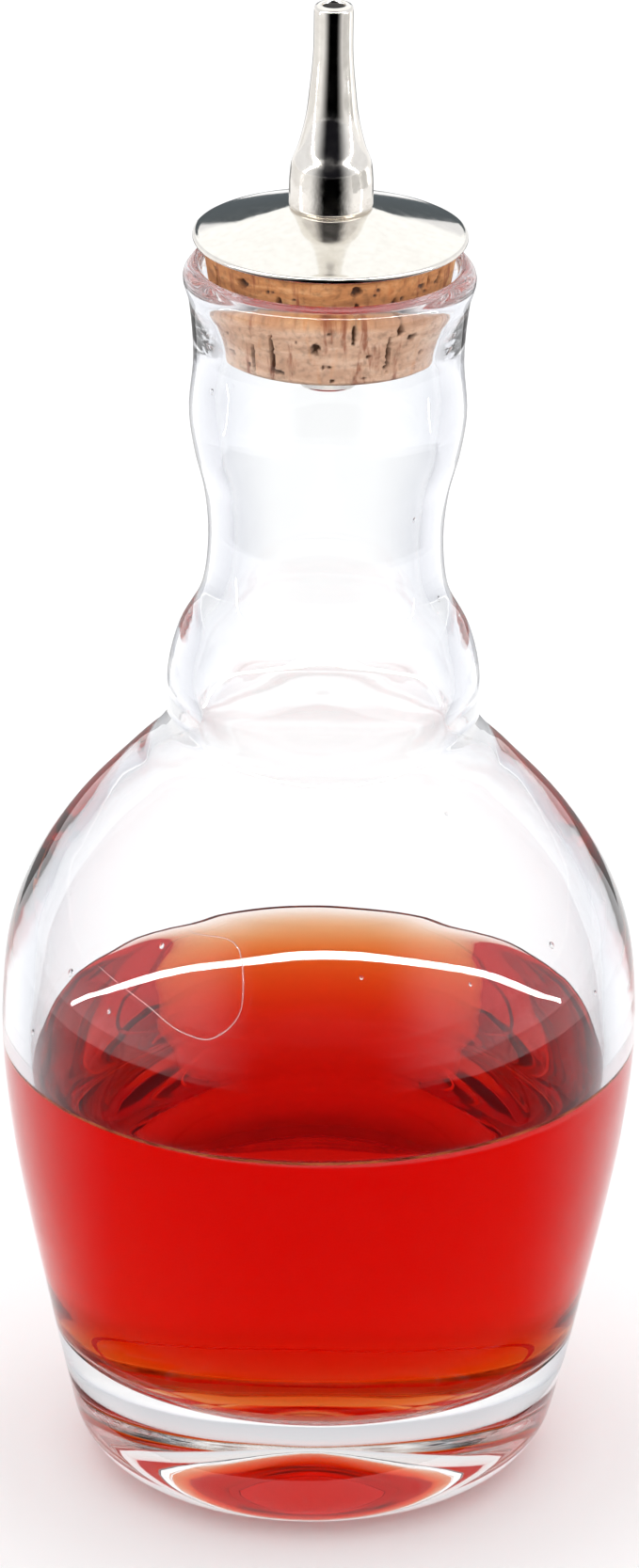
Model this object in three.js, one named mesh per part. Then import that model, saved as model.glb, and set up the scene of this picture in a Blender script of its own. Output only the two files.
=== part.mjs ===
// Hand-blown bitters bottle with a cork-mounted metal dasher top and a red drink in it.
// Millimetres, +Z up, standing on z = 0, the side seen in the photo facing -Y.
import * as THREE from "three";
import { mergeVertices } from "three/addons/utils/BufferGeometryUtils.js";

// Whole object
const LEAN = Math.tan((0.8 * Math.PI) / 180); // the blown body leans this much to +X
const FOOT_BLEND = 12; // the lean starts above the flat foot within this height
const GAP = 0.3; // between pieces that touch
const SIDES = 48; // of the glass and the drink

// Glass, outside
const FOOT_R = 19.5; // flat it stands on
const FOOT_CORNER = 8.3;
const FOOT_ANGLE = 1.34; // where the corner meets the cone, in radians
const BULB_Z = 54.8;
const BULB_R = 35.8;
const RING_Z = 94.6; // swelling at the root of the neck
const RING_R = 17.5;
const WAIST_Z = 110.2;
const WAIST_R = 13.04;
const COLLAR_Z = 125.8; // swelling under the mouth
const COLLAR_R = 15.28;
const THROAT_Z = 132.3;
const THROAT_R = 14.88;
const LIP_Z = 142.2;
const LIP_R = 15.95;
const LIP_TOP = 143.4;

// Glass, inside
const FLOOR_Z = 13.6; // top of the thick glass base
const FLOOR_R = 17;
const WALL = 3.2; // at the widest place
const NECK_WALL = 2.7;
const MOUTH_R = 13.9;
const BULB_CUT = 46; // where the glass is parted under the bulb's widest place
const NECK_CUT = 88; // and at the root of the neck

// Drink, cork, metal top
const LEVEL = 50.4;
const CORK_TOP = 145.95;
const CORK_TOP_R = 14.0;
const CORK_END = 133.6;
const CORK_END_R = 11.93;
const DISC_R = 15.05;
const DISC_RIM = 0.9; // thickness at the edge
const DISC_RISE = 2.95; // from the rim's top edge up to the spout
const SPOUT_R = 4.6;
const SPOUT_TIP_R = 2.14;
const SPOUT_TOP = 172.75;
const SPOUT_BORE = 1.2;
const STEM_R = 3.67;
const STEM_BORE = 1.8;
const STEM_END = 129.7;

// A curve through [r, z] stations, with a tangent at each from its neighbours, cut into `each` steps a span.
function curve(stations, each) {
  const at = [0];
  for (let i = 1; i < stations.length; i++) {
    const [a, b] = [stations[i - 1], stations[i]];
    at.push(at[i - 1] + Math.hypot(b[0] - a[0], b[1] - a[1]));
  }
  const tangent = (i, k) => {
    const lo = Math.max(i - 1, 0);
    const hi = Math.min(i + 1, stations.length - 1);
    if (lo === i || hi === i)
      return (stations[hi][k] - stations[lo][k]) / (at[hi] - at[lo]);
    const before = (stations[i][k] - stations[lo][k]) / (at[i] - at[lo]);
    const after = (stations[hi][k] - stations[i][k]) / (at[hi] - at[i]);
    const w = (at[i] - at[lo]) / (at[hi] - at[lo]);
    return before * (1 - w) + after * w;
  };
  const out = [];
  for (let i = 0; i + 1 < stations.length; i++) {
    const h = at[i + 1] - at[i];
    for (let s = 0; s < each; s++) {
      const t = s / each;
      const point = [0, 1].map(
        (k) =>
          (2 * t ** 3 - 3 * t ** 2 + 1) * stations[i][k] +
          (t ** 3 - 2 * t ** 2 + t) * h * tangent(i, k) +
          (3 * t ** 2 - 2 * t ** 3) * stations[i + 1][k] +
          (t ** 3 - t ** 2) * h * tangent(i + 1, k),
      );
      out.push(point);
    }
  }
  out.push([...stations[stations.length - 1]]);
  return out;
}

// Points on an arc from angle a to b about [r, z], both ends included.
function arc(r, z, radius, a, b, steps) {
  return Array.from({ length: steps + 1 }, (_, i) => {
    const t = a + ((b - a) * i) / steps;
    return [r + radius * Math.cos(t), z + radius * Math.sin(t)];
  });
}

const smooth = (t) => {
  const u = Math.min(1, Math.max(0, t));
  return u * u * (3 - 2 * u);
};

// Turns a profile about the axis and gives it the bottle's lean. Above `level` nothing tips, so that
// the drink's surface stays level.
function turned(name, profile, sides, material, level = Infinity) {
  const flat = new THREE.LatheGeometry(
    profile.map(([r, z]) => new THREE.Vector2(r, z)),
    sides,
  );
  flat.rotateX(Math.PI / 2);
  flat.deleteAttribute("normal");
  flat.deleteAttribute("uv");
  const geometry = mergeVertices(flat, 1e-4);
  const p = geometry.getAttribute("position");
  for (let i = 0; i < p.count; i++) {
    const [x, z] = [p.getX(i), p.getZ(i)];
    const tip = smooth(z / FOOT_BLEND) * smooth((level - z) / 10);
    p.setXYZ(i, x + LEAN * (z - BULB_Z), p.getY(i), z - LEAN * x * tip);
  }
  geometry.computeVertexNormals();
  const mesh = new THREE.Mesh(geometry, material);
  mesh.name = name;
  return mesh;
}

const footSide = arc(FOOT_R, FOOT_CORNER, FOOT_CORNER, -Math.PI / 2, -Math.PI / 2 + FOOT_ANGLE, 7);
const outside = [
  [0, 0],
  ...footSide.slice(0, -1),
  ...curve(
    [
      footSide[footSide.length - 1],
      [29.51, 14.7],
      [31.06, 22.0],
      [33.05, 31.5],
      [34.7, 40.8],
      [BULB_R, BULB_Z],
      [34.44, 65.7],
      [32.1, 71.3],
      [28.8, 76.5],
      [21.86, 84.3],
      [18.55, 87.8],
      [17.45, 89.6],
      [RING_R, RING_Z],
      [16.3, 100.05],
      [13.78, 105.0],
      [WAIST_R, WAIST_Z],
      [13.55, 117.2],
      [14.69, 121.8],
      [COLLAR_R, COLLAR_Z],
      [THROAT_R, THROAT_Z],
      [15.42, 139.1],
      [LIP_R, LIP_Z],
      [14.75, LIP_TOP],
      [MOUTH_R, LIP_TOP - 0.9],
    ],
    2,
  ),
];
const inside = curve(
  [
    [MOUTH_R, LIP_TOP - 0.9],
    [12.95, 137.6],
    [CORK_END_R + GAP + 0.04, CORK_END],
    [12.5, COLLAR_Z],
    [11.95, 121.8],
    [10.85, 117.2],
    [WAIST_R - NECK_WALL, WAIST_Z],
    [11.05, 105.0],
    [13.5, 100.05],
    [RING_R - 2.9, RING_Z],
    [14.5, 89.6],
    [15.6, 87.8],
    [18.85, 84.3],
    [25.75, 76.5],
    [29.05, 71.3],
    [31.35, 65.7],
    [BULB_R - WALL, BULB_Z],
    [31.4, 40.8],
    [29.0, 30.0],
    [26.5, 20.5],
    [23.6, 15.6],
    [FLOOR_R, FLOOR_Z],
  ],
  2,
);

// The part of a closed profile above a height (side 1) or below it (side -1).
function clipped(profile, height, side) {
  return profile.flatMap((p, i) => {
    const q = profile[(i + 1) % profile.length];
    const [a, b] = [(p[1] - height) * side, (q[1] - height) * side];
    const kept = a >= 0 ? [p] : [];
    if (a < 0 !== b < 0) {
      const t = a / (a - b);
      kept.push([p[0] + t * (q[0] - p[0]), height]);
    }
    return kept;
  });
}

// The glass is one blown piece. It is built as a foot, a bulb and a neck, a gap apart.
const glassProfile = [...outside, ...inside.slice(1), [0, FLOOR_Z]];
const footProfile = clipped(glassProfile, BULB_CUT - GAP / 2, -1);
const bulbProfile = clipped(clipped(glassProfile, BULB_CUT + GAP / 2, 1), NECK_CUT - GAP / 2, -1);
const neckProfile = clipped(glassProfile, NECK_CUT + GAP / 2, 1);
bulbProfile.push([...bulbProfile[0]]);
neckProfile.push([...neckProfile[0]]);

// The drink's side is the inner wall below the level, moved in by the gap.
function drinkProfile() {
  const below = inside.filter(([, z]) => z < LEVEL - 0.8);
  const next = inside[inside.length - below.length - 1];
  const t = (LEVEL - below[0][1]) / (next[1] - below[0][1]);
  const top = [below[0][0] + t * (next[0] - below[0][0]), LEVEL];
  const wall = [top, ...below].map(([r, z], i, all) => {
    const [a, b] = [all[Math.max(i - 1, 0)], all[Math.min(i + 1, all.length - 1)]];
    const run = Math.hypot(b[0] - a[0], b[1] - a[1]);
    return i === 0
      ? [r - GAP, z]
      : [r + (GAP * (b[1] - a[1])) / run, z - (GAP * (b[0] - a[0])) / run];
  });
  return [[0, FLOOR_Z + GAP], ...wall.reverse(), [0, LEVEL]];
}

const discBottom = CORK_TOP + 0.05;
const edge = DISC_RIM / 2;
const discTop = discBottom + DISC_RIM;
const discProfile = [
  [SPOUT_BORE, discBottom],
  ...arc(DISC_R - edge, discBottom + edge, edge, -Math.PI / 2, Math.PI / 2, 5),
  ...[0.2, 0.45, 0.7, 1].map((t) => [
    DISC_R - edge - t * (DISC_R - edge - SPOUT_R),
    discTop + DISC_RISE * (t + 0.16 * t * (1 - t)),
  ]),
  [SPOUT_BORE, discTop + DISC_RISE],
];
discProfile.push([...discProfile[0]]);

const spoutFoot = discTop + DISC_RISE + GAP / 2;
const chamfer = 0.55;
const spoutProfile = [
  [SPOUT_BORE, SPOUT_TOP],
  [SPOUT_BORE, spoutFoot],
  [SPOUT_R, spoutFoot],
  ...curve(
    [
      [SPOUT_R, spoutFoot + 0.3],
      [4.54, 153.4],
      [4.36, 154.9],
      [3.72, 156.6],
      [3.26, 158.3],
      [2.9, 160.0],
      [2.5, 163.4],
      [2.2, 166.8],
      [SPOUT_TIP_R, SPOUT_TOP - chamfer],
    ],
    2,
  ),
  ...arc(SPOUT_TIP_R - chamfer, SPOUT_TOP - chamfer, chamfer, 0.5, Math.PI / 2, 3),
  [SPOUT_BORE, SPOUT_TOP],
];

const corkProfile = [
  [STEM_R + GAP, CORK_TOP - 0.25],
  [STEM_R + GAP, CORK_END],
  [CORK_END_R - 0.4, CORK_END],
  [CORK_END_R, CORK_END + 0.4],
  [(CORK_END_R + CORK_TOP_R) / 2, (CORK_END + CORK_TOP) / 2],
  [CORK_TOP_R, CORK_TOP - 0.25],
  [STEM_R + GAP, CORK_TOP - 0.25],
];

const stemProfile = [
  [STEM_BORE, CORK_TOP - 0.25],
  [STEM_BORE, STEM_END + 0.3],
  [STEM_BORE + 0.3, STEM_END],
  [STEM_R - 0.35, STEM_END],
  [STEM_R, STEM_END + 0.35],
  [STEM_R, CORK_TOP - 0.25],
  [STEM_BORE, CORK_TOP - 0.25],
];

const paint = (color, roughness, metalness, more = {}) =>
  new THREE.MeshStandardMaterial({ color, roughness, metalness, ...more });
const glass = paint(0xe6ebee, 0.04, 0.0, { transparent: true, opacity: 0.35 });
const red = paint(0xc4150d, 0.08, 0.0);
const nickel = paint(0xc9c4bb, 0.12, 1.0);
const corkTan = paint(0xb87a4b, 0.85, 0.0);

const part = new THREE.Group();
part.add(
  turned("bottle_foot", footProfile, SIDES, glass),
  turned("bottle_bulb", bulbProfile, SIDES, glass.clone()),
  turned("bottle_neck", neckProfile, SIDES, glass.clone()),
  turned("drink", drinkProfile(), SIDES, red, LEVEL),
  turned("cork", corkProfile, 44, corkTan),
  turned("cap_disc", discProfile, 40, nickel),
  turned("spout", spoutProfile, 22, nickel.clone()),
  turned("stem", stemProfile, 28, nickel.clone()),
);
export default part;
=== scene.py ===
import math
import random

import bpy
import numpy as np
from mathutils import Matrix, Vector, noise


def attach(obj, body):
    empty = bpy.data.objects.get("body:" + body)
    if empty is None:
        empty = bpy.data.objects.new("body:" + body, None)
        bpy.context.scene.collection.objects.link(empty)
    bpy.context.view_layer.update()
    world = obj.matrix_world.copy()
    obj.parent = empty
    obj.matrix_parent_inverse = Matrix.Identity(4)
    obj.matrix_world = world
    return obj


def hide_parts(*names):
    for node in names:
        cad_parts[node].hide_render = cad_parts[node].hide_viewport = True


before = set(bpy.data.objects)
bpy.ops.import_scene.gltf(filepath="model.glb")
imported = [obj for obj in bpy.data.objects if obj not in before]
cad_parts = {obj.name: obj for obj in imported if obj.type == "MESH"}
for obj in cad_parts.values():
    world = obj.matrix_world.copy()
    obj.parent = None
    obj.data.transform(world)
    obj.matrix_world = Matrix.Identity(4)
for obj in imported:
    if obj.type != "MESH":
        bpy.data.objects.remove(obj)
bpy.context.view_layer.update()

# Looks of the bitters bottle. The shapes are in millimetres, as in the CAD source, and skin() turns
# them into metres. Materials, floor, cards and camera are in metres.
MM = 0.001

# Shape, from the CAD source's own values
LEAN = math.tan(math.radians(0.8))
FOOT_BLEND = 12  # height from which the rings tilt fully with the lean
BULB_Z = 54.8  # height of the widest place
FLOOR_Z = 13.6  # where the inside starts
LEVEL = 50.4  # of the drink
LIP_TOP = 143.4
MOUTH_R = 13.9
CORK_TOP, CORK_TOP_R = 145.95, 14.0
CORK_END, CORK_END_R = 133.6, 11.93
DISC_R, DISC_RIM, DISC_RISE = 15.05, 0.9, 2.95
SPOUT_R, SPOUT_TIP_R, SPOUT_TOP, SPOUT_BORE = 4.6, 2.14, 172.75, 1.2
STEM_R, STEM_BORE, STEM_END = 3.67, 1.8, 129.7
FOOT_R, FOOT_CORNER, FOOT_ANGLE = 19.5, 8.3, 1.34

# Shape that only the looks have
HOLLOW_R, HOLLOW_DEPTH = 17.3, 6.5  # the hollow under the base
UNEVEN = 0.1  # depth of the dents in the blown glass
INTO = 0.08  # of the drink into the glass, so that no air shows between them
CLIMB = 0.38  # of the drink up the glass
CORK_DOWN = 0.05  # of the cork's top under the disc, so that the two faces don't meet
SIDES = 176  # of glass and drink
CORK_SIDES, CORK_ROWS = 480, 88
DISC_SIDES, SPOUT_SIDES, STEM_SIDES = 192, 128, 96


def curve(stations, each):
    """Points on a smooth curve through [r, z] stations, `each` of them to a stretch."""
    p = [np.array(s, float) for s in stations]
    at = [0.0]
    for a, b in zip(p, p[1:]):
        at.append(at[-1] + float(np.linalg.norm(b - a)))
    tangent = []
    for i in range(len(p)):
        lo, hi = max(i - 1, 0), min(i + 1, len(p) - 1)
        if lo == i or hi == i:
            tangent.append((p[hi] - p[lo]) / (at[hi] - at[lo]))
            continue
        before = (p[i] - p[lo]) / (at[i] - at[lo])
        after = (p[hi] - p[i]) / (at[hi] - at[i])
        w = (at[i] - at[lo]) / (at[hi] - at[lo])
        tangent.append(before * (1 - w) + after * w)
    out = []
    for i in range(len(p) - 1):
        h = at[i + 1] - at[i]
        for s in range(each):
            t = s / each
            out.append(
                (2 * t**3 - 3 * t**2 + 1) * p[i]
                + (t**3 - 2 * t**2 + t) * h * tangent[i]
                + (3 * t**2 - 2 * t**3) * p[i + 1]
                + (t**3 - t**2) * h * tangent[i + 1]
            )
    out.append(p[-1])
    return out


def arc(r, z, radius, a, b, steps):
    """Points round the middle [r, z] from angle a to b."""
    turn = [a + (b - a) * i / steps for i in range(steps + 1)]
    return [np.array((r + radius * math.cos(t), z + radius * math.sin(t))) for t in turn]


def around(sides):
    """The angles of a ring's points, from +X on."""
    return np.arange(sides) * 2 * math.pi / sides


def smooth(t):
    u = np.clip(t, 0, 1)
    return u * u * (3 - 2 * u)


def leaned(x, y, z):
    """The bottle's lean to +X, as in the CAD source."""
    return np.stack([x + LEAN * (z - BULB_Z), y, z - LEAN * x * smooth(z / FOOT_BLEND)], 1)


def ring(r, z, sides):
    """One leaned circle, or a single point where r is 0. r and z may hold a value for each side."""
    if np.ndim(r) == 0 and r < 1e-6:
        return leaned(np.zeros(1), np.zeros(1), np.full(1, float(z)))
    turn = around(sides)
    return leaned(r * np.cos(turn), r * np.sin(turn), np.zeros(sides) + z)


def rings_of(line, sides):
    return [ring(r, z, sides) for r, z in line]


def noise_round(turn, radius, height):
    """Noise at each angle of a circle, whose radius and height are in noise units."""
    spots = [(radius * math.cos(t), radius * math.sin(t), height) for t in turn]
    return np.array([noise.noise(Vector(spot)) for spot in spots])


def mesh_object(name, verts, faces, materials):
    mesh = bpy.data.meshes.new(name)
    mesh.from_pydata(verts, [], faces)
    mesh.update()
    for look in materials:
        mesh.materials.append(look)
    o = bpy.data.objects.new(name, mesh)
    bpy.context.scene.collection.objects.link(o)
    return o


def skin(name, rings, materials, slots=None, closed=False, sharp=50):
    """A mesh over rings of points, each with the same count or a single point.

    slots gives a material slot to each band between two rings, closed joins the last ring to the
    first, and edges of more than `sharp` degrees stay sharp.
    """
    verts, starts = [], []
    for pts in rings:
        starts.append(len(verts))
        verts.extend(pts * MM)
    faces, index = [], []
    for i in range(len(rings) if closed else len(rings) - 1):
        k = (i + 1) % len(rings)
        n, m = len(rings[i]), len(rings[k])
        for j in range(max(n, m)):
            a, b = starts[i] + j % n, starts[i] + (j + 1) % n
            d, c = starts[k] + j % m, starts[k] + (j + 1) % m
            faces.append((a, b, c, d) if n == m else (a, c, d) if n == 1 else (a, b, c))
            index.append(slots(i) if slots else 0)
    o = mesh_object(name, verts, faces, materials)
    o.data.polygons.foreach_set("use_smooth", [True] * len(faces))
    o.data.polygons.foreach_set("material_index", index)
    o.data.set_sharp_from_angle(angle=math.radians(sharp))
    return o


def piece(o, slot, *nodes):
    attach(o, "root")
    if nodes:
        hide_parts(*nodes)


# Nodes
def put(tree, n, inputs):
    """Fills a node's inputs: a socket is linked, anything else is set as the input's own value."""
    for key, value in inputs.items():
        if hasattr(value, "links"):
            tree.links.new(value, n.inputs[key])
        else:
            n.inputs[key].default_value = value


def node(tree, kind, inputs, **settings):
    """The outputs of a new node."""
    n = tree.nodes.new(kind)
    for key, value in settings.items():
        setattr(n, key, value)
    put(tree, n, inputs)
    return n.outputs


def where(tree):
    return node(tree, "ShaderNodeTexCoord", {})["Object"]


def light_path(tree):
    return node(tree, "ShaderNodeLightPath", {})


def split(tree, vector):
    return node(tree, "ShaderNodeSeparateXYZ", {"Vector": vector})


def stretched(tree, at, up):
    """Coordinates for a grain that is lower than wide where up is above 1, and taller below 1."""
    return node(tree, "ShaderNodeMapping", {"Vector": at, "Scale": (1.0, 1.0, up)})[0]


def grain(tree, at, scale, detail=2.0, roughness=0.5, distortion=0.0):
    kind = {"Vector": at, "Scale": scale, "Detail": detail, "Roughness": roughness, "Distortion": distortion}
    return node(tree, "ShaderNodeTexNoise", kind)["Fac"]


def calc(tree, operation, a, b=0.0):
    return node(tree, "ShaderNodeMath", {0: a, 1: b}, operation=operation)[0]


def span(tree, value, start, end, at_start, at_end, steps="SMOOTHSTEP"):
    """at_start up to where value is start, at_end from where it is end, and graded between them."""
    ends = {"Value": value, "From Min": start, "From Max": end, "To Min": at_start, "To Max": at_end}
    return node(tree, "ShaderNodeMapRange", ends, interpolation_type=steps)["Result"]


def blend(tree, share, a, b, kind="MIX"):
    """Colour a, turned into colour b by share. 6, 7 and 2 are the node's colour sockets."""
    return node(tree, "ShaderNodeMix", {"Factor": share, 6: a, 7: b}, data_type="RGBA", blend_type=kind)[2]


def ramp(tree, value, stops):
    """A colour or grey for each value, from stops of a value with its colour or grey."""
    n = tree.nodes.new("ShaderNodeValToRGB")
    put(tree, n, {"Fac": value})
    marks = n.color_ramp.elements
    while len(marks) < len(stops):
        marks.new(0.5)
    for mark, (place, tone) in zip(marks, stops):
        mark.position = place
        mark.color = (*tone, 1) if hasattr(tone, "__len__") else grey(tone)
    return n.outputs["Color"]


def grey(tone):
    return (tone, tone, tone, 1)


def bump(tree, shader, height, strength, distance):
    relief = {"Height": height, "Strength": strength, "Distance": distance}
    put(tree, shader, {"Normal": node(tree, "ShaderNodeBump", relief)["Normal"]})


# Materials
GLASS_IOR, DRINK_IOR = 1.5, 1.36
CORK_HAZE_SPAN = (0.1411, 0.1402)  # heights between which the cork gets paler where the glass covers it: painted haze of the glass's reflections


def material(name):
    """A material, its nodes and its main shader."""
    m = bpy.data.materials.new(name)
    m.use_nodes = True
    return m, m.node_tree, m.node_tree.nodes["Principled BSDF"]


def plain_material(name, colour, roughness):
    m, tree, shader = material(name)
    put(tree, shader, {"Base Color": colour, "Roughness": roughness})
    return m


def clear_material(name, tint, ior, shine, roughness=0.0):
    """A clear one that keeps the share `shine` of its own reflections."""
    m, tree, shader = material(name)
    put(tree, shader, {"Base Color": tint, "Roughness": roughness, "IOR": ior})
    put(tree, shader, {"Transmission Weight": 1.0, "Specular Tint": grey(shine)})
    return m, tree, shader


def glass_material(name, tint, shine, roughness=0.0):
    m, tree, shader = clear_material(name, tint, GLASS_IOR, shine, roughness)
    bump(tree, shader, grain(tree, where(tree), 70.0, detail=1.0), 0.25, 0.0004)
    return m


def drink_material():
    m, tree, shader = clear_material("drink_red", grey(1.0), DRINK_IOR, 0.1)
    soak = {"Color": (0.967, 0.52, 0.01, 1), "Density": 240.0}
    volume = node(tree, "ShaderNodeVolumeAbsorption", soak)["Volume"]
    put(tree, tree.nodes["Material Output"], {"Volume": volume})
    bump(tree, shader, grain(tree, where(tree), 40.0), 0.05, 0.0002)
    return m


def painted_meniscus_shade_material():
    """Painted shade: the dark brown line that the curved edge of the drink shows where it climbs the glass.
    """
    m, tree, shader = material("painted_meniscus_shade")
    tone = grain(tree, where(tree), 260.0)
    painted_shade_brown = ramp(tree, tone, [(0.35, (0.16, 0.022, 0.006)), (0.65, (0.40, 0.085, 0.02))])
    put(tree, shader, {"Base Color": painted_shade_brown, "Roughness": 0.3})
    return m


def metal_material(name, rough_from):
    """Polished nickel, less evenly polished from the height rough_from down over 4 mm."""
    m, tree, shader = material(name)
    at = where(tree)
    fine = grain(tree, at, 900.0, detail=5.0)
    tint = ramp(tree, fine, [(0.3, (0.74, 0.70, 0.645)), (0.7, (0.80, 0.765, 0.71))])
    rough = ramp(tree, fine, [(0.35, 0.06), (0.75, 0.13)])
    put(tree, shader, {"Metallic": 1.0, "Base Color": tint, "Roughness": rough})
    strength = span(tree, split(tree, at)["Z"], rough_from, rough_from - 0.004, 0.06, 0.5, "LINEAR")
    bump(tree, shader, fine, strength, 0.0001)
    return m


def cork_material():
    m, tree, shader = material("cork_tan")
    at = where(tree)
    big = grain(tree, stretched(tree, at, 3.5), 170.0, 6.0, 0.65, 0.6)
    base = [(0.3, (0.36, 0.12, 0.032)), (0.5, (0.54, 0.215, 0.068)), (0.7, (0.72, 0.38, 0.17))]
    # Paler tones below the lip: painted haze of the glass's reflections over the cork.
    painted_haze = [(0.3, (0.50, 0.30, 0.20)), (0.5, (0.64, 0.42, 0.30)), (0.7, (0.74, 0.55, 0.43))]
    inside = span(tree, split(tree, at)["Z"], *CORK_HAZE_SPAN, 0.0, 0.85, "LINEAR")
    tone = blend(tree, inside, ramp(tree, big, base), ramp(tree, big, painted_haze))
    specks = ramp(tree, grain(tree, at, 1500.0, 3.0), [(0.3, 0.72), (0.48, 1.0), (0.8, 1.1)])
    speckled = blend(tree, 1.0, tone, specks, "MULTIPLY")
    thin = grain(tree, stretched(tree, at, 0.2), 620.0, 4.0, 0.6, 0.3)
    streaks = [(0.34, (0.55, 0.34, 0.28)), (0.45, (1, 1, 1)), (0.62, (1, 1, 1)), (0.72, (1.0, 0.86, 0.74))]
    streaked = blend(tree, 1.0, speckled, ramp(tree, thin, streaks), "MULTIPLY")
    # The pits are coloured near black: painted shade in the recesses.
    pit_shade = node(tree, "ShaderNodeAttribute", {}, attribute_name="pit_shade")["Fac"]
    pit_shaded = blend(tree, pit_shade, streaked, (0.09, 0.035, 0.015, 1))
    put(tree, shader, {"Base Color": pit_shaded, "Roughness": 0.85})
    bump(tree, shader, big, 0.5, 0.0003)
    return m


# Glass
POINTS = 6  # in each stretch of an outline
BLOWN = (LEVEL + 2, 132)  # heights between which the inside is uneven: from above the drink to the cork
DULL = (76, 108)  # heights of the shoulder and the neck's root, whose inside mirrors less
foot_side = arc(FOOT_R, FOOT_CORNER, FOOT_CORNER, -math.pi / 2, -math.pi / 2 + FOOT_ANGLE, 16)
outside = foot_side[:-1] + curve(
    [
        foot_side[-1], (29.51, 14.7), (31.06, 22.0), (33.05, 31.5), (34.7, 40.8), (35.8, BULB_Z),
        (34.44, 65.7), (32.1, 71.3), (28.8, 76.5), (21.86, 84.3), (18.55, 87.8), (17.45, 89.6),
        (17.5, 94.6), (16.3, 100.05), (13.78, 105.0), (13.04, 110.2), (13.55, 117.2), (14.69, 121.8),
        (15.28, 125.8), (14.88, 132.3), (15.42, 139.1), (15.95, 142.2), (14.75, LIP_TOP),
        (MOUTH_R, LIP_TOP - 0.9),
    ],
    POINTS,
)
inside = curve(
    [
        (MOUTH_R, LIP_TOP - 0.9), (12.95, 137.6), (CORK_END_R + 0.34, CORK_END), (12.5, 125.8),
        (11.95, 121.8), (10.85, 117.2), (10.34, 110.2), (11.05, 105.0), (13.5, 100.05), (14.6, 94.6),
        (14.5, 89.6), (15.6, 87.8), (18.85, 84.3), (25.75, 76.5), (29.05, 71.3), (31.35, 65.7),
        (32.6, BULB_Z), (31.4, 40.8), (29.0, 30.0), (26.5, 20.5), (23.6, 15.6), (17, FLOOR_Z),
    ],
    POINTS,
)


def uneven(r, z, depth, seed):
    """Radius at each side of one ring, pulled in a little here and there as in blown glass.

    The dents are about a quarter turn wide and 22 mm tall.
    """
    return r - depth * (0.5 + 0.5 * noise_round(around(SIDES), 1.3, z / 22 + seed))


def outer_ring(r, z):
    """Even where the bottle stands, fully uneven from FOOT_BLEND up."""
    even = z <= 0.5
    return ring(r if even else uneven(r, z, UNEVEN * min(1, z / FOOT_BLEND), 0), z, SIDES)


def inner_ring(r, z):
    return ring(uneven(r, z, UNEVEN, 9) if BLOWN[0] < z < BLOWN[1] else r, z, SIDES)


hollow = [(r, HOLLOW_DEPTH * (1 - (r / HOLLOW_R) ** 1.5)) for r in [*np.arange(0, 16, 1.5), 16.2]]
foot = rings_of(hollow + [(16.9, 0.09), (17.6, 0.02)], SIDES)
outer_rings = [outer_ring(r, z) for r, z in outside]
inner_rings = [inner_ring(r, z) for r, z in inside[1:]]
base_rings = [ring(r, FLOOR_Z, SIDES) for r in (12.0, 6.0, 0)]
glass_rings = foot + outer_rings + inner_rings + base_rings
heights = [float(np.mean(pts[:, 2])) for pts in glass_rings]
first_inner = len(foot) + len(outer_rings)


def glass_slot(i):
    """Worn where the bottle stands, wetted below the drink's level and inside DULL, else clear."""
    if len(hollow) <= i <= len(foot):
        return 2
    return int(i >= first_inner and (heights[i] < LEVEL + 0.3 or DULL[0] < heights[i] < DULL[1]))


glass_looks = [
    glass_material("clear_glass", (0.99, 0.995, 0.995, 1), 1.0),
    glass_material("clear_glass_wetted", (0.99, 0.995, 0.995, 1), 0.1),
    glass_material("clear_glass_worn", (0.99, 0.995, 0.995, 1), 1.0, 0.35),
]
bottle = skin("bottle_glass", glass_rings, glass_looks, slots=glass_slot, sharp=80)
piece(bottle, "glass", "bottle_foot", "bottle_bulb", "bottle_neck")

# Drink: its side lies just inside the glass
wall_r, wall_z = np.array(inside[::-1]).T


def drink_rings():
    """The drink's rings from the middle of its floor to the middle of its top, and the band that gets the
    painted meniscus shade.
    """
    turn = around(SIDES)
    floor = [ring(r, FLOOR_Z - INTO, SIDES) for r in (0, 8.0, 14.0, 16.6)]
    sides, top = [], []
    steps = [z for z in wall_z if FLOOR_Z < z < LEVEL - 0.5] + [LEVEL, LEVEL + 0.08, LEVEL + CLIMB]
    for z in steps:
        level_out = smooth(1 - (LEVEL - z) / 10)  # the top lies level in the leaning bottle
        r = np.interp(z, wall_z, wall_r)
        local = z + LEAN * r * np.cos(turn) * level_out
        sides.append(ring(np.interp(local, wall_z, wall_r) + INTO, local, SIDES))
    rim = sides[-1]
    middle = np.array((LEAN * (LEVEL - BULB_Z), 0.0, 0.0))
    radius = np.linalg.norm((rim - middle)[:, :2], axis=1)
    for inward in (0.25, 0.5, 0.8, 1.2, 1.7, 2.4, 3.5, 6, 10, 15, 20, 25, 29):
        share = (radius - inward) / radius
        pts = middle + (rim - middle) * share[:, None]
        pts[:, 2] = LEVEL + CLIMB * math.exp(-inward / 0.75)
        top.append(pts)
    return floor + sides + top + [np.array([[middle[0], 0.0, LEVEL]])], len(floor + sides) - 2


fill_rings, painted_shade_band = drink_rings()
drink_looks = [drink_material(), painted_meniscus_shade_material()]
# The band where the drink climbs the glass gets a painted dark brown meniscus shade.
drink = skin("drink_fill", fill_rings, drink_looks, slots=lambda i: int(i == painted_shade_band), sharp=80)
piece(drink, "drink", "drink")

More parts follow.
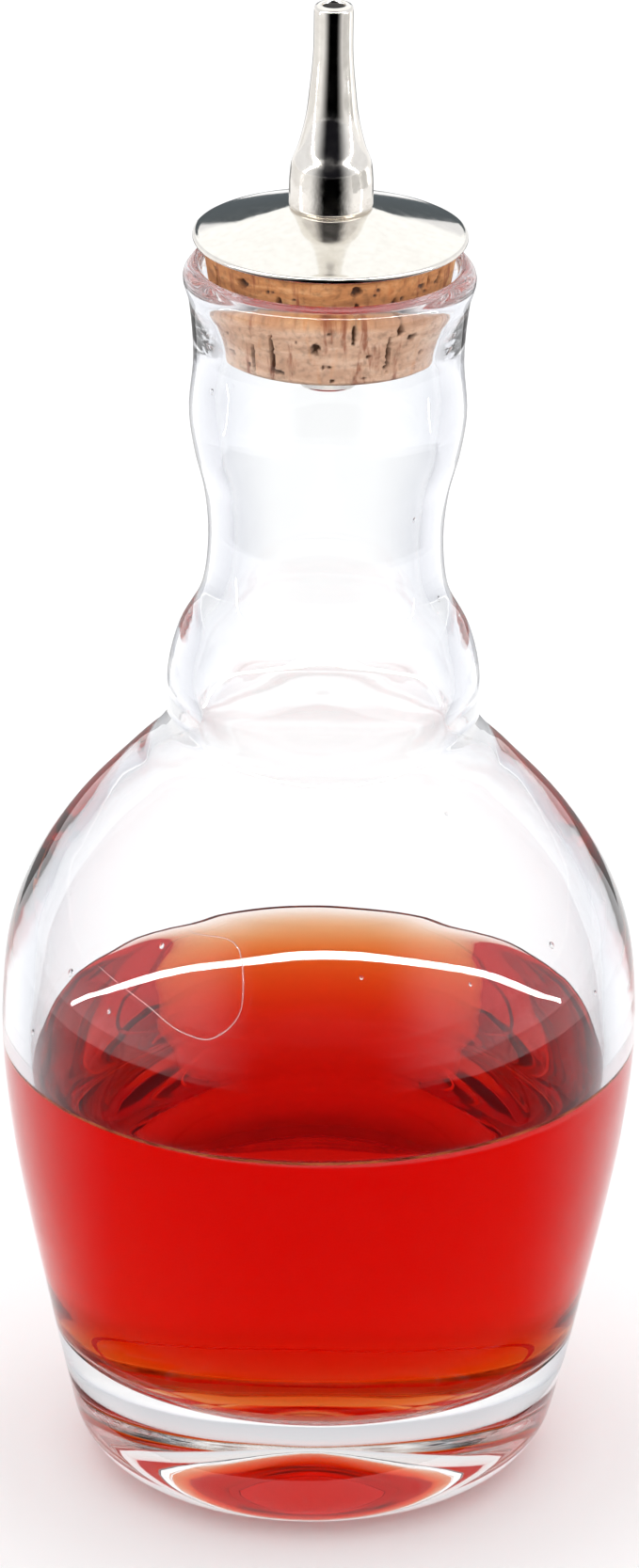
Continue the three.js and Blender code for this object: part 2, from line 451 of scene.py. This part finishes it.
# Marks on the glass: the line left by blowing, drops and seeds
glass_r, glass_z = np.array([q for q in outside if q[1] < LIP_TOP - 1.5]).T
LAP = [(-47, 69), (-34, 67), (-25, 65), (-20, 65), (-15, 68.5), (-16, 73), (-29, 75)]  # angle, height
DROPS = [  # angle from the seen side in degrees to the right, height, radius
    (-54, 67, 0.4), (-34, 73, 0.3), (-42, 65, 0.25), (68, 106, 0.3), (40, 85, 0.2), (45, 117, 0.25),
    (52, 71, 0.35), (61, 64, 0.25), (-63, 58, 0.3), (30, 70, 0.2), (8, 72, 0.2), (-58, 131, 0.3),
]


def on_glass(angle, z, out=0.0):
    """A point on the outside of the glass, and the direction away from it."""
    r = float(np.interp(z, glass_z, glass_r)) + out
    t = math.radians(angle)
    slope = float(np.interp(z + 1, glass_z, glass_r) - np.interp(z - 1, glass_z, glass_r)) / 2
    away = np.array((math.sin(t), -math.cos(t), -slope))
    at = leaned(np.array([r * math.sin(t)]), np.array([-r * math.cos(t)]), np.array([z]))[0]
    return at, away / np.linalg.norm(away)


def across(a, b):
    """The direction square to a and b."""
    side = np.cross(a, b)
    return side / np.linalg.norm(side)


def thread(path, half):
    """Rings of a fine raised line along [angle, height] points, thinner at both ends."""
    line = [on_glass(a, z) for a, z in curve(path, 7)]
    rings = []
    for i, (at, away) in enumerate(line):
        along = line[min(i + 1, len(line) - 1)][0] - line[max(i - 1, 0)][0]
        side = across(away, along)
        h = half * math.sin(math.pi * (i + 0.5) / len(line)) ** 0.4
        rings.append(np.array([at + h * (math.cos(t) * side + math.sin(t) * away) for t in around(8)]))
    return [line[0][0][None]] + rings + [line[-1][0][None]]


def drop(angle, z, radius):
    """Rings of a low dome on the glass, a quarter taller than wide and half as high as its radius."""
    at, away = on_glass(angle, z, -0.02)
    side = across(away, (0, 0, 1.0))
    up = np.cross(away, side) * 1.25
    high = radius * 0.5
    rings = []
    for k in range(6):
        t = k * math.pi / 12
        wide = radius * math.cos(t)
        middle = at + away * high * math.sin(t)
        rings.append(np.array([middle + wide * (math.cos(a) * side + math.sin(a) * up) for a in around(16)]))
    return [at[None]] + rings + [(at + away * high)[None]]


mark_glass = glass_material("glass_marks", (0.97, 0.97, 0.97, 1), 1.0)
piece(skin("lap_line", thread(LAP, 0.075), [mark_glass]), "glass")
for number, (angle, z, radius) in enumerate(DROPS):
    piece(skin("drop_%d" % number, drop(angle, z, radius), [mark_glass]), "glass")

# Cork, with pits and cracks cut into its side and painted shade in them
PITS = [  # angle from the seen side in degrees, height, half width, half height, depth
    (-44, 144.3, 0.75, 0.55, 0.8), (11.6, 144.7, 0.6, 0.5, 0.8), (41, 138.8, 0.6, 0.45, 0.7),
    (-38.5, 136.0, 0.2, 1.6, 0.8), (-28, 136.8, 0.24, 2.6, 0.8), (-25, 134.9, 0.6, 0.25, 0.6),
    (-6.6, 138.2, 0.45, 0.7, 0.8), (11, 139.8, 0.22, 1.0, 0.6), (28.5, 137.3, 0.2, 2.2, 0.6),
    (-24, 142.2, 0.3, 1.3, 0.7), (12, 142.0, 0.35, 1.3, 0.7), (31, 142.1, 0.5, 1.4, 0.8),
    (34, 139.9, 0.4, 0.6, 0.6),
]
cork_top = CORK_TOP - CORK_DOWN


def drawn_pits():
    """60 pits at the sides and back, and 26 small ones at the front."""
    rng = random.Random(4)
    pits = []
    for _ in range(60):
        tall = rng.random() < 0.4
        wide = rng.uniform(0.12, 0.3) if tall else rng.uniform(0.2, 0.55)
        high = rng.uniform(0.6, 2.0) if tall else rng.uniform(0.12, 0.35)
        angle, z, deep = rng.uniform(45, 315), rng.uniform(134.5, 145), rng.uniform(0.2, 0.7)
        pits.append((angle, z, wide, high, deep))
    for _ in range(26):
        angle, z = rng.uniform(-70, 70), rng.uniform(134.3, 145.2)
        pits.append((angle, z, rng.uniform(0.1, 0.3), rng.uniform(0.1, 0.3), 0.25))
    return pits


def cork_rings(pits):
    """The rings of the cork's side, and for each of their points how far it lies inside one of the pits,
    which sets how much painted shade it gets.
    """
    turn = np.degrees(around(CORK_SIDES)) + 90
    rows, marks = [], []
    for z in np.linspace(CORK_END + 0.4, cork_top - 0.3, CORK_ROWS):
        r = CORK_END_R + (CORK_TOP_R - CORK_END_R) * (z - CORK_END) / (cork_top - CORK_END)
        cut = np.zeros(CORK_SIDES)
        mark = np.zeros(CORK_SIDES)
        ragged = noise_round(np.radians(turn), 32, z * 2.2)
        for a, h, wide, high, deep in pits:
            off = (turn - a + 180) % 360 - 180
            d = np.hypot(off * math.pi / 180 * r / wide, (z - h) / high) + 0.5 * ragged
            hole = smooth((1.15 - d) / 0.5)
            cut = np.maximum(cut, hole * deep)
            mark = np.maximum(mark, hole)
        rough = 0.05 * np.abs(noise_round(np.radians(turn), 9, z * 0.8))
        rows.append(ring(r - cut - rough, z, CORK_SIDES))
        marks.append(mark)
    return rows, marks


def cork():
    rows, marks = cork_rings(PITS + drawn_pits())
    blank = np.zeros(CORK_SIDES)
    bore = STEM_R + 0.05
    low = rings_of([(bore, cork_top), (bore, CORK_END), (CORK_END_R - 0.4, CORK_END)], CORK_SIDES)
    high = [ring(CORK_TOP_R - 0.4, cork_top, CORK_SIDES)]
    o = skin("cork_body", low + rows + high, [cork_material()], closed=True, sharp=60)
    # How much painted shade each point gets, from how far it lies in the pits.
    pit_shade = o.data.attributes.new("pit_shade", "FLOAT", "POINT")
    pit_shade.data.foreach_set("value", np.concatenate([blank] * len(low) + marks + [blank]).astype(np.float32))
    return o


piece(cork(), "cork", "cork")

# Metal top
nickel = metal_material("nickel", 0.0)
nickel_spout = metal_material("nickel_spout", 0.156)
# The spout's bore is coloured near black: painted shade in its depth.
bore_painted_shade = plain_material("bore_painted_shade", (0.05, 0.045, 0.04, 1), 0.6)
rim_r = DISC_RIM / 2
disc_top = CORK_TOP + DISC_RIM
spout_foot = disc_top + DISC_RISE
dome = [
    (DISC_R - rim_r - t * (DISC_R - rim_r - SPOUT_R), disc_top + DISC_RISE * (t + 0.16 * t * (1 - t)))
    for t in np.linspace(0.04, 1, 28)
]
disc_line = (
    [(SPOUT_BORE, CORK_TOP), (SPOUT_R, CORK_TOP)]
    + arc(DISC_R - rim_r, CORK_TOP + rim_r, rim_r, -math.pi / 2, math.pi / 2, 14)
    + dome
    + [(SPOUT_R - 0.5, spout_foot), (SPOUT_BORE, spout_foot)]
)
disc = skin("disc_metal", rings_of(disc_line, DISC_SIDES), [nickel], closed=True)
piece(disc, "metal", "cap_disc")

spout_side = curve(
    [
        (SPOUT_R, spout_foot + 0.45), (4.54, 153.4), (4.36, 154.9), (3.72, 156.6), (3.26, 158.3),
        (2.9, 160.0), (2.5, 163.4), (2.2, 166.8), (SPOUT_TIP_R, SPOUT_TOP - 0.55),
    ],
    8,
)
spout_start = [
    (SPOUT_BORE, SPOUT_TOP - 0.25), (SPOUT_BORE, spout_foot), (SPOUT_R - 0.35, spout_foot),
    (SPOUT_R - 0.3, spout_foot + 0.12),
]
spout_line = (
    spout_start
    + arc(SPOUT_R - 0.25, spout_foot + 0.42, 0.25, -1.2, 0.0, 4)
    + spout_side
    + arc(SPOUT_TIP_R - 0.55, SPOUT_TOP - 0.55, 0.55, 0.15, math.pi / 2, 8)
    + [(SPOUT_BORE + 0.1, SPOUT_TOP - 0.04)]
)
spout_looks = [nickel_spout, bore_painted_shade]  # the bore is the outline's first stretch, coloured near black as painted shade
spout_rings = rings_of(spout_line, SPOUT_SIDES)
spout = skin("spout_metal", spout_rings, spout_looks, slots=lambda i: int(i == 0), closed=True)
piece(spout, "metal", "spout")

stem_line = [
    (STEM_BORE, CORK_TOP), (STEM_BORE, STEM_END + 0.3), (STEM_BORE + 0.12, STEM_END + 0.06),
    (STEM_BORE + 0.3, STEM_END), (STEM_R - 0.35, STEM_END), (STEM_R - 0.1, STEM_END + 0.1),
    (STEM_R, STEM_END + 0.35), (STEM_R, CORK_TOP),
]
stem = skin("stem_tube", rings_of(stem_line, STEM_SIDES), [nickel], closed=True)
piece(stem, "metal", "stem")

# Floor and cards. Azimuth 0 is the camera's side, and azimuths are in degrees to the right.
FLOOR_TOP = -0.00004  # just under the bottle, so that the two faces don't meet
SHADE_Z, FLAG_Z = 0.0003, 0.0006  # just above the floor
SIDE_Z = 0.1492  # just above the disc's rim
LAMP_TILT, LAMP_Z, LAMP_HALF = 41.3, 0.048, 0.03
WHITE, BLACK = (1, 1, 1), (0, 0, 0)


def floor_material():
    m, tree, shader = material("floor_white")
    put(tree, shader, {"Base Color": (0.9, 0.9, 0.905, 1), "Roughness": 0.6, "Specular IOR Level": 0.2})
    return m


def glowing(name, colour, strength):
    """Plain light or, at strength 0, plain black."""
    m = bpy.data.materials.new(name)
    m.use_nodes = True
    tree = m.node_tree
    tree.nodes.remove(tree.nodes["Principled BSDF"])
    light = node(tree, "ShaderNodeEmission", {"Color": (*colour, 1), "Strength": strength})
    put(tree, tree.nodes["Material Output"], {"Surface": light["Emission"]})
    return m


def shown(m, share):
    """Shows glowing material m by share, and makes the rest of it clear."""
    tree = m.node_tree
    clear = node(tree, "ShaderNodeBsdfTransparent", {})[0]
    light = tree.nodes["Emission"].outputs[0]
    mix = node(tree, "ShaderNodeMixShader", {"Fac": share, 1: clear, 2: light})[0]
    put(tree, tree.nodes["Material Output"], {"Surface": mix})
    return m


def above_only(m):
    """Makes a lying card clear from below."""
    tree = m.node_tree
    back = node(tree, "ShaderNodeNewGeometry", {})["Backfacing"]
    return shown(m, calc(tree, "SUBTRACT", 1.0, back))


def beside_camera(tree, vector):
    """The angle in radians between a direction and the camera's side, as seen from above."""
    part = split(tree, vector)
    ahead = calc(tree, "MULTIPLY", part["Y"], -1.0)
    return calc(tree, "ABSOLUTE", calc(tree, "ARCTAN2", part["X"], ahead))


def flag_material(name, full, none):
    """Black towards the camera's side, fading out to both sides between two angles in radians.

    It is clear for light that comes through the glass, but not for light that the inside of the
    front wall mirrored back out, which was mirrored and let through only twice.
    """
    m = glowing(name, BLACK, 0.0)
    tree = m.node_tree
    path = light_path(tree)
    unmirrored = calc(tree, "LESS_THAN", path["Glossy Depth"], 0.5)
    deep = calc(tree, "GREATER_THAN", path["Transmission Depth"], 2.5)
    passed = calc(tree, "MULTIPLY", path["Is Transmission Ray"], calc(tree, "MAXIMUM", unmirrored, deep))
    ahead = span(tree, beside_camera(tree, where(tree)), full, none, 1.0, 0.0)
    return shown(m, calc(tree, "MULTIPLY", ahead, calc(tree, "SUBTRACT", 1.0, passed)))


def shade_material():
    """Clear near the middle line, greyer to both sides: what the glass bends into its edges."""
    m = glowing("table_shade", BLACK, 0.0)
    tree = m.node_tree
    wide = calc(tree, "ABSOLUTE", split(tree, where(tree))["X"])
    soft = [
        (0.03, WHITE), (0.07, (0.90, 0.905, 0.93)), (0.13, (0.80, 0.81, 0.85)),
        (0.3, (0.70, 0.71, 0.75)), (0.6, (0.62, 0.63, 0.67)),
    ]
    dark = [(0.04, WHITE), (0.07, (0.75, 0.75, 0.79)), (0.12, (0.55, 0.55, 0.6))]
    path = light_path(tree)
    bounced = calc(tree, "GREATER_THAN", path["Glossy Depth"], 0.5)
    deep = calc(tree, "GREATER_THAN", path["Transmission Depth"], 4.5)
    both = calc(tree, "MULTIPLY", bounced, deep)
    tone = blend(tree, both, ramp(tree, wide, soft), ramp(tree, wide, dark))
    clear = node(tree, "ShaderNodeBsdfTransparent", {"Color": tone})[0]
    put(tree, tree.nodes["Material Output"], {"Surface": clear})
    return m


def card(name, shape, look, seen_through=False):
    """A studio card or lamp, which shows in reflections and, where seen_through is set, through glass."""
    o = mesh_object(name, *shape, [look])
    o.visible_camera = False
    o.visible_diffuse = False
    o.visible_shadow = False
    o.visible_volume_scatter = False
    o.visible_transmission = seen_through
    return o


def square(half, height):
    """Corners and face of a square that lies round the origin."""
    corners = [(-half, -half, height), (half, -half, height), (half, half, height), (-half, half, height)]
    return corners, [(0, 1, 2, 3)]


def strip(pairs):
    """Corners and faces of a strip over pairs of points."""
    faces = [(2 * i, 2 * i + 1, 2 * i + 3, 2 * i + 2) for i in range(len(pairs) - 1)]
    return [point for pair in pairs for point in pair], faces


def turns_between(a, b, steps):
    return [math.radians(a + (b - a) * i / steps) for i in range(steps + 1)]


def fan(near, far, a, b, steps, height):
    """A lying strip round the bottle between two distances, from azimuth a to b."""
    turns = turns_between(a, b, steps)
    return strip([[(r * math.sin(t), -r * math.cos(t), height) for r in (near, far)] for t in turns])


def arch(radius, a, b, steps=72):
    """A strip lamp bent in a half circle that rises towards the camera. It comes nearer at its ends."""
    up = math.radians(LAMP_TILT)
    pairs = []
    for t in turns_between(a, b, steps):
        full = max(0.0, math.cos(t)) ** 0.5
        far = radius * (0.3 + 0.7 * full)
        x, y, rise = far * math.sin(t), -far * math.cos(t) * math.cos(up), math.cos(t) * math.sin(up)
        half = LAMP_HALF * (0.45 + 0.55 * full)
        pairs.append([(x, y, LAMP_Z + far * (rise + side)) for side in (half, -half)])
    return strip(pairs)


def upright(half, y, low, high):
    """Corners and face of an upright card behind the bottle."""
    return [(-half, y, low), (half, y, low), (half, y, high), (-half, y, high)], [(0, 1, 2, 3)]


floor = mesh_object("floor", *square(4, FLOOR_TOP), [floor_material()])

card("room_dark", upright(0.042, 0.15, 0.128, 0.205), glowing("room_blue_grey", (0.11, 0.13, 0.145), 1.0))
card("flag_near", fan(0.034, 0.26, -140, 140, 60, FLAG_Z), flag_material("flag_near", 1.2, 2.44), True)
card("flag_far", fan(0.26, 3.9, -90, 90, 60, FLAG_Z), flag_material("flag_far", 0.33, 1.2), True)
card("flag_back", fan(0.25, 0.6, 150, 210, 30, FLAG_Z), glowing("flag_grey", WHITE, 0.3))
card("side_left", fan(0.016, 0.09, -140, -55, 30, SIDE_Z), above_only(glowing("side_grey", WHITE, 1.0)))
card("side_right", fan(0.016, 0.09, 55, 104, 20, SIDE_Z), above_only(glowing("side_dim", WHITE, 0.75)))
card("side_line", fan(0.016, 0.09, 104, 120, 10, SIDE_Z), above_only(glowing("side_white", WHITE, 1.7)))
card("strip_lamp", arch(1.0, -96, 92), glowing("strip_white", WHITE, 40.0))
shade = card("table_shade", square(2, SHADE_Z), shade_material(), True)
shade.visible_glossy = False

# World: the camera, the floor's light, mirrored light and light through the glass each get their own
WORLD_STRENGTH = 1.67
CAMERA_SEES = 0.59
FLOOR_LIGHT, FLOOR_LIGHT_THROUGH = 0.79, 1.15
BESIDE = 0.75  # the place of the sides on the scale of tones, where overhead is 1


def open_room(tree, sky, back, high, side):
    """1 overhead, BESIDE to the sides and 0 low in front.

    back tilts overhead away from the camera. high and side say where each starts and is full.
    """
    aim = node(tree, "ShaderNodeVectorMath", {0: sky, 1: (0, back, 1.0)}, operation="DOT_PRODUCT")
    above = ramp(tree, aim["Value"], [(0.0, 0.0), (high[0], 0.04), (high[1], 1.0)])
    beside = span(tree, beside_camera(tree, sky), *side, 0.0, BESIDE)
    return calc(tree, "MAXIMUM", above, beside)


def mirrored_room(tree, sky):
    """What metal and the outside of the glass mirror."""
    tones = [(0.0, (0.006, 0.006, 0.008)), (BESIDE, (0.60, 0.61, 0.63)), (1.0, (0.78, 0.80, 0.81))]
    return ramp(tree, open_room(tree, sky, 0.5, (0.66, 0.78), (0.33, 1.2)), tones)


def room_through_glass(tree, sky, path):
    """What shows through the glass: pale, but dark low in front and darker for light mirrored in it."""
    part = split(tree, sky)
    pale = [(0.0, (0.50, 0.51, 0.53)), (0.3, (0.60, 0.60, 0.61)), (0.6, (0.63, 0.62, 0.61))]
    aside = calc(tree, "ARCTAN2", calc(tree, "ABSOLUTE", part["X"]), part["Y"])
    behind = span(tree, aside, 0.45, 0.8, 1.0, 0.0)
    low = span(tree, part["Z"], 0.6, 0.85, 1.0, 0.0)
    bounced = calc(tree, "GREATER_THAN", path["Glossy Depth"], 0.5)
    deep = calc(tree, "MULTIPLY", bounced, calc(tree, "GREATER_THAN", path["Transmission Depth"], 2.5))
    deeper = calc(tree, "MULTIPLY", bounced, calc(tree, "GREATER_THAN", path["Transmission Depth"], 4.5))
    inner = calc(tree, "MULTIPLY", calc(tree, "SUBTRACT", deep, deeper), 0.85)
    surface = calc(tree, "ADD", inner, 0.15)
    mirrored = calc(tree, "MULTIPLY", calc(tree, "MULTIPLY", behind, low), surface)
    walls = calc(tree, "MULTIPLY", deeper, calc(tree, "SUBTRACT", 1.0, behind))
    opened = calc(tree, "MULTIPLY", open_room(tree, sky, 0.35, (0.45, 0.6), (0.45, 0.9)), 1.4)
    front = calc(tree, "SUBTRACT", 1.0, calc(tree, "MINIMUM", opened, 1.0))
    dark = calc(tree, "MAXIMUM", calc(tree, "MAXIMUM", mirrored, calc(tree, "MULTIPLY", walls, 0.3)), front)
    return blend(tree, dark, ramp(tree, part["Z"], pale), (0.028, 0.02, 0.026, 1))


def light_world():
    world = bpy.data.worlds.new("studio")
    bpy.context.scene.world = world
    world.use_nodes = True
    tree = world.node_tree
    sky = node(tree, "ShaderNodeTexCoord", {})["Generated"]
    path = light_path(tree)
    passed = path["Is Transmission Ray"]
    room = blend(tree, passed, mirrored_room(tree, sky), room_through_glass(tree, sky, path))
    fill = blend(tree, passed, grey(FLOOR_LIGHT), grey(FLOOR_LIGHT_THROUGH))
    scattered = calc(tree, "GREATER_THAN", path["Diffuse Depth"], 0.5)
    unseen = blend(tree, scattered, room, fill)
    seen = blend(tree, path["Is Camera Ray"], unseen, grey(CAMERA_SEES))
    put(tree, tree.nodes["Background"], {"Color": seen, "Strength": WORLD_STRENGTH})


light_world()

# Camera
CAMERA_LENS, CAMERA_DOWN = 200.88, 22.992
BOUNCES = 40

camera = bpy.data.objects.new("camera", bpy.data.cameras.new("camera"))
camera.data.lens = CAMERA_LENS
camera.data.clip_start = 0.05
camera.location = (0.000086, -0.9, 0.4634)
camera.rotation_euler = (math.radians(90 - CAMERA_DOWN), 0, 0)
bpy.context.scene.collection.objects.link(camera)
bpy.context.scene.camera = camera

scene = bpy.context.scene
scene.view_settings.view_transform = "Standard"
scene.cycles.max_bounces = BOUNCES
scene.cycles.transmission_bounces = BOUNCES
scene.cycles.glossy_bounces = BOUNCES
